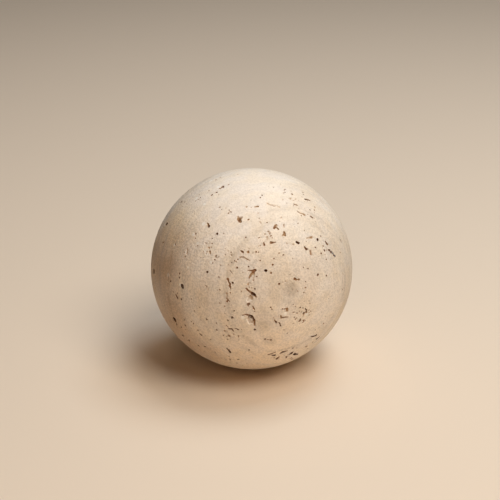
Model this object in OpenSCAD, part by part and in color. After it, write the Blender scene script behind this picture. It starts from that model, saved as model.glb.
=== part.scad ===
// Travertine ball: one solid sphere of stone, honed all over, with the open
// pores and crevices that the stone's bedding leaves in its surface.
//
// The origin is the centre of the ball and +Z is up. Places on the surface are
// given as on a globe whose pole is square to the bedding: "reach" is the angle
// from that pole and "bearing" runs clockwise round it from the top. Pores lie
// along the bedding, so each one follows a line of equal reach.

/* [Ball] */
// Diameter of the ball
ball_d = 80; // [60:1:120]
// Roundness of the ball, in sides to a turn
ball_sides = 160; // [64:8:240]

/* [Bedding] */
// How far the bedding's pole is turned from the front, to the right
bed_turn = 25; // [-90:5:90]
// How far the bedding's pole is raised above the level
bed_rise = 10; // [-45:5:45]

/* [Pores] */
// Size of every pore, against the sizes in the lists
pore_scale = 1; // [0.6:0.1:1.4]
// Unevenness of a pore's width along its length
pore_ragged = 0.25; // [0:0.05:0.4]
// Roundness of a pore, in sides to a turn
pore_sides = 24; // [16:4:40]

/* [Far side] */
// Number of pores in each seam of the far side
seam_pores = 9; // [0:1:14]
// Longest pore of the far side
seam_pore_length = 5; // [2:0.5:8]
// Widest pore of the far side
seam_pore_width = 1.8; // [1:0.1:2.4]
// Seed of the far side's pores
seam_seed = 41; // [1:1:200]

/* [Hidden] */

ball_r = ball_d / 2;
stone_colour = "#dcc6a8";

// Beads stand this part of a pore's width apart
pore_pitch = 0.6;
// Beads stand this part of a crevice's width apart
crevice_pitch = 0.75;
// How far a pore narrows from its middle to its ends
pore_taper = 1.2;

// Depth of a cut, as a part of the diameter of the beads that make it
hollow_cut = 0.2;
saucer_cut = 0.35;
open_cut = 0.6;
deep_cut = 0.8;

// Narrowest pore of the far side
seam_pore_least = 0.7;
// Breadth of a seam, in degrees of reach
seam_band = 8;
// Pores of the far side keep behind this depth, as a part of the ball's radius
seam_start = 0.15;

// Single pores: reach, bearing, length along the bedding, width, cut
PORES = [
    // Round the pole
    [5.5, 85, 1.1, 0.9, open_cut],
    [8, 316, 0.8, 0.8, hollow_cut],
    [10.5, 298.5, 0.9, 0.8, open_cut],
    [16, 69, 0.9, 0.8, open_cut],
    [17.5, 312, 1.4, 1.0, open_cut],
    [20.5, 310.5, 1.3, 1.0, deep_cut],
    [19.5, 324.5, 1.1, 0.8, open_cut],
    // Above the pole
    [31.5, 39, 0.9, 0.9, deep_cut],
    [35, 42, 1.1, 1.0, saucer_cut],
    [26, 358, 0.9, 1.1, hollow_cut],
    [24.5, 6.5, 0.8, 0.9, hollow_cut],
    [30.5, 321.5, 1.0, 0.8, open_cut],
    [31.5, 328, 1.3, 0.8, saucer_cut],
    [34, 344.5, 1.1, 1.0, hollow_cut],
    [35, 340, 1.0, 0.9, saucer_cut],
    [34.5, 334.5, 1.1, 0.9, hollow_cut],
    [41, 1, 1.0, 0.9, hollow_cut],
    [47.5, 345.5, 1.2, 0.9, hollow_cut],
    [54.5, 341.5, 0.9, 1.1, saucer_cut],
    [57.5, 17, 0.8, 0.8, open_cut],
    [52.5, 8, 1.0, 0.8, hollow_cut],
    [40, 70.5, 0.8, 0.8, open_cut],
    // Left of the pole
    [54, 314.5, 1.0, 1.1, deep_cut],
    [34, 316.5, 0.9, 0.8, open_cut],
    [34.5, 319, 0.9, 0.8, hollow_cut],
    [35, 298.5, 1.0, 0.8, open_cut],
    [50, 287.5, 0.8, 0.8, deep_cut],
    [54, 303.5, 1.0, 0.9, open_cut],
    [48, 297.5, 0.9, 0.8, open_cut],
    [76, 335, 1.0, 0.8, open_cut],
    [76.5, 332, 0.8, 0.8, open_cut],
    [96.5, 305, 2.4, 1.5, deep_cut],
    [97, 277, 2.6, 1.5, deep_cut],
    [96.5, 320, 1.2, 1.2, deep_cut],
    [35, 283.5, 0.8, 0.8, deep_cut],
    [38.5, 266, 0.9, 0.9, open_cut],
    [35.5, 256.5, 1.1, 0.9, deep_cut],
    [38, 250.5, 1.0, 0.9, deep_cut],
    [78.5, 252, 2.2, 1.3, deep_cut],
    // Below the pole
    [46, 235.5, 1.4, 0.8, open_cut],
    [32, 205.5, 1.1, 1.0, open_cut],
    [33, 211.5, 1.0, 0.8, open_cut],
    [45, 214.5, 1.1, 0.9, deep_cut],
    [43.5, 157, 1.1, 0.9, deep_cut],
    [66.5, 232, 0.9, 0.9, open_cut],
    [71.5, 227.5, 0.9, 0.8, open_cut],
];

// Crevices that cross the bedding: a chain of reach, bearing, width, cut
CREVICES = [
    // Short slot nearest the pole
    [[6.5, -2.5, 1.0, open_cut], [6, 4, 0.9, open_cut], [5.5, 15, 0.6, saucer_cut],
     [6, 22, 0.8, open_cut]],
    // Forked crevice left of the pole
    [[27, 301.5, 0.7, open_cut], [25.5, 304, 1.0, open_cut]],
    [[25.5, 302.5, 0.7, open_cut], [26.5, 298, 1.0, open_cut], [27, 292, 0.6, open_cut]],
    // Two more further left
    [[38, 286, 1.0, open_cut], [37.5, 284, 0.8, open_cut], [36.5, 282, 0.8, open_cut],
     [36.5, 280, 1.0, open_cut], [36, 278, 0.7, open_cut]],
    // Upper crescent, over its hollow
    [[27.5, 279.5, 0.7, open_cut], [26.5, 277, 0.9, open_cut], [25, 275, 1.0, open_cut],
     [23.5, 272.5, 1.3, deep_cut], [22.5, 269, 0.8, open_cut]],
    [[25.5, 268, 2.6, hollow_cut], [26.5, 265.5, 1.8, hollow_cut]],
    // Hook and slot between the crescents
    [[27.5, 260.5, 0.7, open_cut], [26.5, 260.5, 0.8, open_cut]],
    [[25, 256, 0.8, open_cut], [25, 252.5, 0.9, deep_cut]],
    // Lower crescent, arched over its hollow
    [[32, 249.5, 0.6, open_cut], [30, 249, 0.8, open_cut], [29, 247, 1.1, open_cut],
     [28, 244, 1.5, deep_cut], [28, 239.5, 1.2, open_cut], [28.5, 236, 0.9, open_cut],
     [29.5, 233, 0.6, open_cut]],
    [[30, 243, 2.2, hollow_cut], [30, 239, 2.2, hollow_cut]],
    // Knots above the pole
    [[37, 353.5, 1.3, saucer_cut], [36, 351, 0.9, open_cut]],
    [[36.5, 361, 0.8, saucer_cut], [35, 360.5, 0.8, saucer_cut]],
    [[32.5, 359, 0.7, open_cut], [31.5, 359, 0.8, open_cut], [30.5, 359, 0.9, open_cut]],
    [[29.5, 340.5, 1.0, open_cut], [29, 342.5, 0.7, open_cut]],
    [[33, 340, 1.1, hollow_cut], [31.5, 339.5, 1.0, hollow_cut]],
    [[42.5, 342.5, 0.7, open_cut], [41.5, 342.5, 0.8, open_cut]],
    // Slots and ochre pores right of them
    [[26, 11.5, 1.0, deep_cut], [25.5, 14, 0.9, deep_cut]],
    [[24, 23, 0.8, deep_cut], [23, 26, 0.9, deep_cut], [23.5, 28.5, 0.6, open_cut]],
    [[31, 31.5, 1.3, saucer_cut], [30, 28, 0.9, saucer_cut], [29, 24, 0.6, saucer_cut]],
    [[23, 33.5, 1.2, saucer_cut], [21.5, 35.5, 1.2, saucer_cut]],
    // High up
    [[50, 357, 0.6, saucer_cut], [49, 359.5, 0.8, saucer_cut], [48.5, 361.5, 0.6, saucer_cut]],
    [[44, 21.5, 0.6, open_cut], [43.5, 23.5, 1.0, saucer_cut]],
    [[56, 26.5, 0.9, open_cut], [56.5, 28.5, 0.7, open_cut]],
    // Pits of the upper left
    [[52, 332, 1.2, open_cut], [50.5, 331.5, 1.6, open_cut], [49, 331, 1.3, deep_cut]],
    [[50.5, 334, 1.1, open_cut], [50.5, 332, 1.5, open_cut]],
    [[63, 316.5, 0.8, open_cut], [61, 315.5, 1.0, deep_cut]],
    [[52.5, 301.5, 0.8, open_cut], [52, 300.5, 0.8, open_cut]],
    [[66.5, 297, 0.7, open_cut], [66, 294.5, 0.8, open_cut]],
    [[66, 275.5, 0.9, deep_cut], [65.5, 275, 1.2, deep_cut], [65, 274, 1.0, deep_cut]],
    [[71, 268.5, 0.7, open_cut], [70, 267, 0.9, open_cut]],
    [[77.5, 340.5, 1.0, open_cut], [77, 338.5, 0.6, open_cut]],
    [[37.5, 313.5, 0.6, open_cut], [36, 313.5, 0.8, open_cut]],
    // Arch and bow below the pole
    [[12, 216.5, 0.6, open_cut], [11, 210.5, 0.9, open_cut], [12, 207, 0.9, open_cut],
     [13, 210, 0.6, saucer_cut]],
    [[16, 215, 0.6, open_cut], [17, 211, 0.8, open_cut], [16, 205, 0.6, open_cut]],
    [[19, 174, 0.7, open_cut], [18.5, 171.5, 0.8, open_cut]],
    // Lower left
    [[53.5, 226, 0.6, open_cut], [54, 223.5, 0.8, open_cut], [54.5, 221.5, 1.0, deep_cut]],
    [[62.5, 242.5, 0.7, open_cut], [62, 241.5, 0.8, open_cut]],
    // Lower edge
    [[36, 158, 0.8, open_cut], [37.5, 155.5, 0.9, open_cut], [38, 153, 1.1, deep_cut]],
    [[43, 152.5, 1.2, deep_cut], [43.5, 150, 0.8, open_cut]],
    [[44, 197, 0.9, open_cut], [43, 195, 0.8, open_cut], [41.5, 193, 0.8, open_cut]],
    [[44.5, 193, 1.0, deep_cut], [44.5, 191.5, 1.0, deep_cut]],
    [[47, 186.5, 0.8, open_cut], [48, 187, 1.0, open_cut], [49.5, 187, 0.9, open_cut]],
    [[42.5, 187.5, 0.9, open_cut], [41.5, 186, 1.3, deep_cut], [41.5, 184.5, 1.0, deep_cut],
     [41, 182, 0.7, open_cut]],
    [[44, 176, 0.9, open_cut], [45.5, 177, 1.5, deep_cut]],
    [[46.5, 173.5, 0.9, open_cut], [49, 171.5, 1.3, deep_cut], [49.5, 170, 0.9, open_cut]],
];

// Seams of the far side, as angles from the pole
SEAMS = [66, 88, 104, 118, 131, 146, 160];

// A chance value from 0 to 1 that stays the same for the same seed and index
function chance(seed, index) =
    let (wave = sin(seed * 12.9898 + index * 78.233) * 43758.5453)
    wave - floor(wave);

// The same, from -1 to 1
function swing(seed, index) = 2 * chance(seed, index) - 1;

// Bearing that a length along the bedding turns through
function sweep(length, reach) = length / (ball_r * sin(reach)) * 180 / PI;

// Distance between two points of a chain, over the ball's surface
function gap(from, to) =
    norm([to[0] - from[0], (to[1] - from[1]) * sin(from[0])]) * PI / 180 * ball_r;

// How far a place lies towards the back, from -1 to 1
function depth_from_front(reach, bearing) =
    let (
        rise = sin(reach) * cos(bearing),
        side = sin(reach) * sin(bearing),
        out = cos(reach)
    )
    (rise * sin(bed_rise) - out * cos(bed_rise)) * cos(bed_turn) + side * sin(bed_turn);

// Turns the bedding's globe, built pole up, to where the pole lies in the ball
module in_bedding() {
    rotate([90 - bed_rise, 0, bed_turn])
        rotate([0, 0, 90])
            children();
}

// One round cut that leaves a rim of the given width
module bead(reach, bearing, width, cut) {
    size = width * pore_scale / sqrt(1 - pow(2 * cut - 1, 2));
    rotate([0, reach, -bearing])
        translate([0, 0, ball_r - cut * size + size / 2])
            sphere(d = size, $fn = pore_sides);
}

// A pore that follows the bedding, narrower towards its ends
module pore(reach, bearing, length, width, cut) {
    beads = max(1, floor(length / (width * pore_pitch) + 0.5) - 1);
    turn = sweep(length - width, reach);
    seed = reach * 7 + bearing;
    for (i = [0 : beads - 1]) {
        along = beads == 1 ? 0 : i / (beads - 1) - 0.5;
        taper = 1 - pore_taper * along * along;
        bead(
            reach + swing(seed, 2 * i) * pore_ragged * width,
            bearing + along * turn,
            width * taper * (1 + swing(seed, 2 * i + 1) * pore_ragged),
            cut
        );
    }
}

// A crevice that runs from one point of its chain to the next
module crevice(chain) {
    for (i = [0 : len(chain) - 2]) {
        from = chain[i];
        to = chain[i + 1];
        steps = max(1, ceil(gap(from, to) / (from[2] * crevice_pitch)));
        // The last bead of a stretch is the first of the next one
        for (step = [i == 0 ? 0 : 1 : steps]) {
            spot = from + (to - from) * step / steps;
            bead(spot[0], spot[1], spot[2], spot[3]);
        }
    }
}

// Pores scattered along the seams, kept to the half that faces away
module far_side_pores() {
    for (seam = SEAMS)
        for (i = [0 : 1 : seam_pores - 1]) {
            seed = seam_seed + seam;
            bearing = (i + chance(seed, 5 * i)) * 360 / seam_pores;
            reach = seam + seam_band * (chance(seed, 5 * i + 1) - 0.5);
            growth = chance(seed, 5 * i + 2);
            width = seam_pore_least + (seam_pore_width - seam_pore_least) * growth * growth;
            length = width + (seam_pore_length - width) * chance(seed, 5 * i + 3) * growth;
            cut = saucer_cut + (deep_cut - saucer_cut) * chance(seed, 5 * i + 4);
            if (depth_from_front(reach, bearing) > seam_start)
                pore(reach, bearing, length, width, cut);
        }
}

module stone_ball() {
    color(stone_colour)
        difference() {
            sphere(d = ball_d, $fn = ball_sides);
            in_bedding() {
                for (p = PORES)
                    pore(p[0], p[1], p[2], p[3], p[4]);
                for (chain = CREVICES)
                    crevice(chain);
                far_side_pores();
            }
        }
}

stone_ball();
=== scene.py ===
import math
import random

import bpy
from mathutils import Matrix, Vector


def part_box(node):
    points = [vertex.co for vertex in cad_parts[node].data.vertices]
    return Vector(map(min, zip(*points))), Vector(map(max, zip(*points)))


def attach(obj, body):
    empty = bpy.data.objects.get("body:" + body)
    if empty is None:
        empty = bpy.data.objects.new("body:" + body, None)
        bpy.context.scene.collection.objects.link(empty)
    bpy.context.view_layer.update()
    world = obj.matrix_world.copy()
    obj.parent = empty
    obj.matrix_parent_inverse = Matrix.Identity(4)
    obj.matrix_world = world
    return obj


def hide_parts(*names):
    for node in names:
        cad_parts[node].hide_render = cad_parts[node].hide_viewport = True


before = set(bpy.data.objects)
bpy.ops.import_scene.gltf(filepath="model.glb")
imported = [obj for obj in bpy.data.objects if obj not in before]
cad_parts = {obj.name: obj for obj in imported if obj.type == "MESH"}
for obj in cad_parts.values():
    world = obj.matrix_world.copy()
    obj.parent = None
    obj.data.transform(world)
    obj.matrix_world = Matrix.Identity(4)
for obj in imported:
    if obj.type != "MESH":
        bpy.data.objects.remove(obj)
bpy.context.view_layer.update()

mm = 0.001

# the ball's size and the floor's height come from the CAD node
ballLow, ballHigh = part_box("stone_ball")
ballRadius = (ballHigh.z - ballLow.z) / 2
ballRadiusMm = ballRadius / mm
floorHeight = ballLow.z

# the bedding's pole: degrees to the right of the front, and degrees above level
bedding = {"turn": 25, "rise": 10}
beddingTurn = (
    Matrix.Rotation(math.radians(bedding["turn"]), 3, "Z")
    @ Matrix.Rotation(math.radians(90 - bedding["rise"]), 3, "X")
    @ Matrix.Rotation(math.radians(90), 3, "Z")
)


def surfaceTurn(reach, bearing):
    # local Z points out of the ball, local X away from the bedding's pole
    return (
        beddingTurn
        @ Matrix.Rotation(-math.radians(bearing), 3, "Z")
        @ Matrix.Rotation(math.radians(reach), 3, "Y")
    )


def share(seed, index):
    # the part's source draws its uneven pores from the same rule
    wave = math.sin(math.radians(seed * 12.9898 + index * 78.233)) * 43758.5453
    return wave - math.floor(wave)


def deselectAll():
    bpy.ops.object.select_all(action="DESELECT")


def makeActive(thing):
    deselectAll()
    thing.select_set(True)
    bpy.context.view_layer.objects.active = thing


def applyModifier(thing, kind, **settings):
    makeActive(thing)
    modifier = thing.modifiers.new(kind.lower(), kind)
    for name, value in settings.items():
        setattr(modifier, name, value)
    bpy.ops.object.modifier_apply(modifier=modifier.name)


def joinAll(things, name):
    deselectAll()
    for thing in things:
        thing.select_set(True)
    bpy.context.view_layer.objects.active = things[0]
    bpy.ops.object.join()
    joined = bpy.context.object
    joined.name = name
    bpy.ops.object.transform_apply(location=True, rotation=True, scale=True)
    return joined


def cloudTexture(name, size, depth):
    texture = bpy.data.textures.new(name, "CLOUDS")
    texture.noise_scale = size
    texture.noise_depth = depth
    return texture


# how deep each kind of pore is cut, as a part of the width of the lumps it is cut with
poreCut = {"hollow": 0.2, "saucer": 0.35, "open": 0.6, "deep": 0.8}

# reach and bearing in degrees, length along the bedding and width in mm
singlePores = [
    # round the pole
    (5.5, 85, 1.1, 0.9, "open"),
    (8, 316, 0.8, 0.8, "hollow"),
    (10.5, 298.5, 0.9, 0.8, "open"),
    (16, 69, 0.9, 0.8, "open"),
    (17.5, 312, 1.4, 1.0, "open"),
    (20.5, 310.5, 1.3, 1.0, "deep"),
    (19.5, 324.5, 1.1, 0.8, "open"),
    # above the pole
    (31.5, 39, 0.9, 0.9, "deep"),
    (35, 42, 1.1, 1.0, "saucer"),
    (26, 358, 0.9, 1.1, "hollow"),
    (24.5, 6.5, 0.8, 0.9, "hollow"),
    (30.5, 321.5, 1.0, 0.8, "open"),
    (31.5, 328, 1.3, 0.8, "saucer"),
    (34, 344.5, 1.1, 1.0, "hollow"),
    (35, 340, 1.0, 0.9, "saucer"),
    (34.5, 334.5, 1.1, 0.9, "hollow"),
    (41, 1, 1.0, 0.9, "hollow"),
    (47.5, 345.5, 1.2, 0.9, "hollow"),
    (54.5, 341.5, 0.9, 1.1, "saucer"),
    (57.5, 17, 0.8, 0.8, "open"),
    (52.5, 8, 1.0, 0.8, "hollow"),
    (40, 70.5, 0.8, 0.8, "open"),
    # left of the pole
    (54, 314.5, 1.0, 1.1, "deep"),
    (40, 325, 0.8, 0.7, "open"),
    (34, 316.5, 0.9, 0.8, "open"),
    (34.5, 319, 0.9, 0.8, "hollow"),
    (40.5, 306, 0.9, 0.7, "saucer"),
    (35, 298.5, 1.0, 0.8, "open"),
    (50, 287.5, 0.8, 0.8, "deep"),
    (54, 303.5, 1.0, 0.9, "open"),
    (48, 297.5, 0.9, 0.8, "open"),
    (66.5, 292.5, 0.9, 0.7, "open"),
    (76, 335, 1.0, 0.8, "open"),
    (76.5, 332, 0.8, 0.8, "open"),
    (96.5, 305, 2.2, 1.9, "deep"),
    (97, 277, 2.0, 1.9, "deep"),
    (96.5, 320, 1.2, 1.2, "deep"),
    (35, 283.5, 0.8, 0.8, "deep"),
    (38.5, 266, 0.9, 0.9, "open"),
    (35.5, 256.5, 1.1, 0.9, "deep"),
    (38, 250.5, 1.0, 0.9, "deep"),
    (78.5, 252, 1.8, 1.8, "deep"),
    # below the pole
    (46, 235.5, 1.4, 0.8, "open"),
    (32, 205.5, 1.1, 1.0, "open"),
    (33, 211.5, 1.0, 0.8, "open"),
    (45, 214.5, 1.1, 0.9, "deep"),
    (43.5, 157, 1.1, 0.9, "deep"),
    (66.5, 232, 0.9, 0.9, "open"),
    (71.5, 227.5, 0.9, 0.8, "open"),
]

# crevices that cross the bedding, as chains of reach, bearing, width and kind
crevices = [
    # short slot nearest the pole
    [(6.5, -2.5, 1.0, "open"), (6, 4, 0.9, "open"), (5.5, 15, 0.6, "saucer"), (6, 22, 0.8, "open")],
    # forked crevice left of the pole
    [(29, 300, 0.5, "open"), (27, 301.5, 0.7, "open"), (25.5, 304, 1.0, "open")],
    [(25.5, 302.5, 0.7, "open"), (26.5, 298, 1.0, "open"), (27, 292, 0.6, "open")],
    [(25.5, 301, 0.6, "open"), (25, 296, 0.6, "saucer"), (24.5, 290, 0.6, "saucer")],
    [(27, 284.5, 0.6, "open"), (26.5, 286.5, 0.6, "saucer"), (25.5, 286.5, 0.6, "saucer")],
    # two more further left
    [(38, 286, 1.0, "open"), (37.5, 284, 0.8, "open"), (36.5, 282, 0.8, "open"), (36.5, 280, 1.0, "open"),
     (36, 278, 0.7, "open")],
    [(38, 273.5, 0.7, "open"), (38, 271, 0.5, "open"), (38, 268.5, 0.6, "open"), (37, 266, 0.6, "open")],
    # upper crescent, over its hollow
    [(27.5, 279.5, 0.7, "open"), (26.5, 277, 0.9, "open"), (25, 275, 1.0, "open"), (23.5, 272.5, 1.3, "deep"),
     (22.5, 269, 0.8, "open")],
    [(25.5, 268, 2.6, "hollow"), (26.5, 265.5, 1.8, "hollow")],
    # hook and slot between the crescents
    [(27.5, 258, 0.6, "open"), (27.5, 260.5, 0.7, "open"), (26.5, 260.5, 0.8, "open")],
    [(25, 256, 0.65, "open"), (25, 252.5, 0.8, "open")],
    # lower crescent, arched over its hollow
    [(32, 249.5, 0.6, "open"), (30, 249, 0.8, "open"), (29, 247, 1.1, "open"), (28, 244, 1.5, "deep"),
     (28, 239.5, 1.2, "open"), (28.5, 236, 0.9, "open"), (29.5, 233, 0.6, "open")],
    [(30, 243, 2.2, "hollow"), (30, 239, 2.2, "hollow")],
    # knots above the pole
    [(37, 353.5, 1.3, "saucer"), (36, 351, 0.9, "open")],
    [(36, 353, 0.7, "open"), (34.5, 354.5, 0.6, "open")],
    [(36.5, 361, 0.8, "saucer"), (35, 360.5, 0.8, "saucer")],
    [(32.5, 359, 0.7, "open"), (31.5, 359, 0.8, "open"), (30.5, 359, 0.9, "open")],
    [(31, 357, 0.7, "open"), (30.5, 355.5, 0.5, "open")],
    [(29.5, 340.5, 1.0, "open"), (29, 342.5, 0.7, "open"), (28.5, 345.5, 0.5, "open")],
    [(31.5, 334, 0.6, "open"), (30.5, 333, 0.7, "open")],
    [(33, 340, 1.1, "hollow"), (31.5, 339.5, 1.0, "hollow")],
    [(42.5, 342.5, 0.6, "saucer"), (41.5, 342.5, 0.7, "saucer")],
    # slots and ochre pores right of them
    [(26, 11.5, 1.0, "deep"), (25.5, 14, 0.9, "deep")],
    [(24, 23, 0.65, "deep"), (23, 26, 0.75, "deep"), (23.5, 28.5, 0.5, "open")],
    [(31, 31.5, 1.3, "saucer"), (30, 28, 0.9, "saucer"), (29, 24, 0.6, "saucer")],
    [(23, 33.5, 1.2, "saucer"), (21.5, 35.5, 1.2, "saucer")],
    [(34, 49, 0.6, "open"), (33.5, 52.5, 0.7, "open")],
    # high up
    [(52, 346.5, 0.6, "open"), (51.5, 348.5, 0.7, "open")],
    [(51.5, 355.5, 0.6, "saucer"), (50, 357, 0.6, "saucer"), (49, 359.5, 0.8, "saucer"),
     (48.5, 361.5, 0.6, "saucer"), (47.5, 363, 0.6, "saucer")],
    [(45, 17, 0.5, "open"), (44, 19, 0.5, "open"), (44, 21.5, 0.6, "open"), (43.5, 23.5, 1.0, "saucer")],
    [(56, 26.5, 0.9, "open"), (56.5, 28.5, 0.7, "open"), (56.5, 30.5, 0.6, "open")],
    [(44, 29, 0.6, "open"), (43.5, 31, 0.6, "open")],
    # pits of the upper left
    [(52, 332, 1.0, "saucer"), (50.5, 331.5, 1.4, "open"), (49, 331, 1.2, "open")],
    [(50.5, 334, 1.0, "saucer"), (50.5, 332, 1.3, "saucer")],
    [(63, 316.5, 0.8, "open"), (61, 315.5, 1.0, "deep")],
    [(52.5, 301.5, 0.8, "open"), (52, 300.5, 0.8, "open")],
    [(66.5, 297, 0.7, "open"), (66, 294.5, 0.8, "open")],
    [(65.8, 275.2, 1.2, "deep"), (65.5, 275, 1.7, "deep"), (65.2, 274.5, 1.4, "deep")],
    [(71, 268.5, 0.7, "open"), (70, 267, 0.9, "open")],
    [(77.5, 340.5, 1.0, "open"), (77, 338.5, 0.6, "open")],
    [(37.5, 313.5, 0.6, "open"), (36, 313.5, 0.8, "open")],
    # arch and bow below the pole
    [(12, 216.5, 0.6, "open"), (11, 210.5, 0.9, "open"), (12, 207, 0.9, "open"), (13, 210, 0.6, "saucer")],
    [(16, 215, 0.6, "open"), (17, 211, 0.8, "open"), (16, 205, 0.6, "open"), (15.5, 199, 0.6, "open")],
    [(19, 224, 0.5, "saucer"), (20, 220, 0.5, "saucer"), (20.5, 214.5, 0.8, "open")],
    [(19, 174, 0.7, "open"), (18.5, 171.5, 0.8, "open")],
    # lower left
    [(43, 241.5, 0.6, "open"), (41.5, 240.5, 0.7, "open"), (41.5, 238, 0.6, "open")],
    [(53.5, 226, 0.6, "open"), (54, 223.5, 0.8, "open"), (54.5, 221.5, 1.0, "deep")],
    [(62.5, 242.5, 0.7, "open"), (62, 241.5, 0.8, "open")],
    # lower edge
    [(36, 158, 0.8, "open"), (37.5, 155.5, 0.9, "open"), (38, 153, 1.1, "deep")],
    [(43, 152.5, 1.2, "deep"), (43.5, 150, 0.8, "open")],
    [(44, 197, 0.9, "open"), (43, 195, 0.8, "open"), (41.5, 193, 0.8, "open")],
    [(44.5, 193, 1.0, "deep"), (44.5, 191.5, 1.0, "deep")],
    [(47, 186.5, 0.8, "open"), (48, 187, 1.0, "open"), (49.5, 187, 0.9, "open")],
    [(42.5, 187.5, 0.9, "open"), (41.5, 186, 1.3, "deep"), (41.5, 184.5, 1.0, "deep"),
     (41, 182, 0.7, "open")],
    [(44, 176, 0.9, "open"), (45.5, 177, 1.5, "deep")],
    [(46.5, 173.5, 0.9, "open"), (49, 171.5, 1.3, "deep"), (49.5, 170, 0.9, "open")],
    [(48, 179.5, 0.7, "open"), (50, 179, 0.7, "open")],
]

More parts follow.
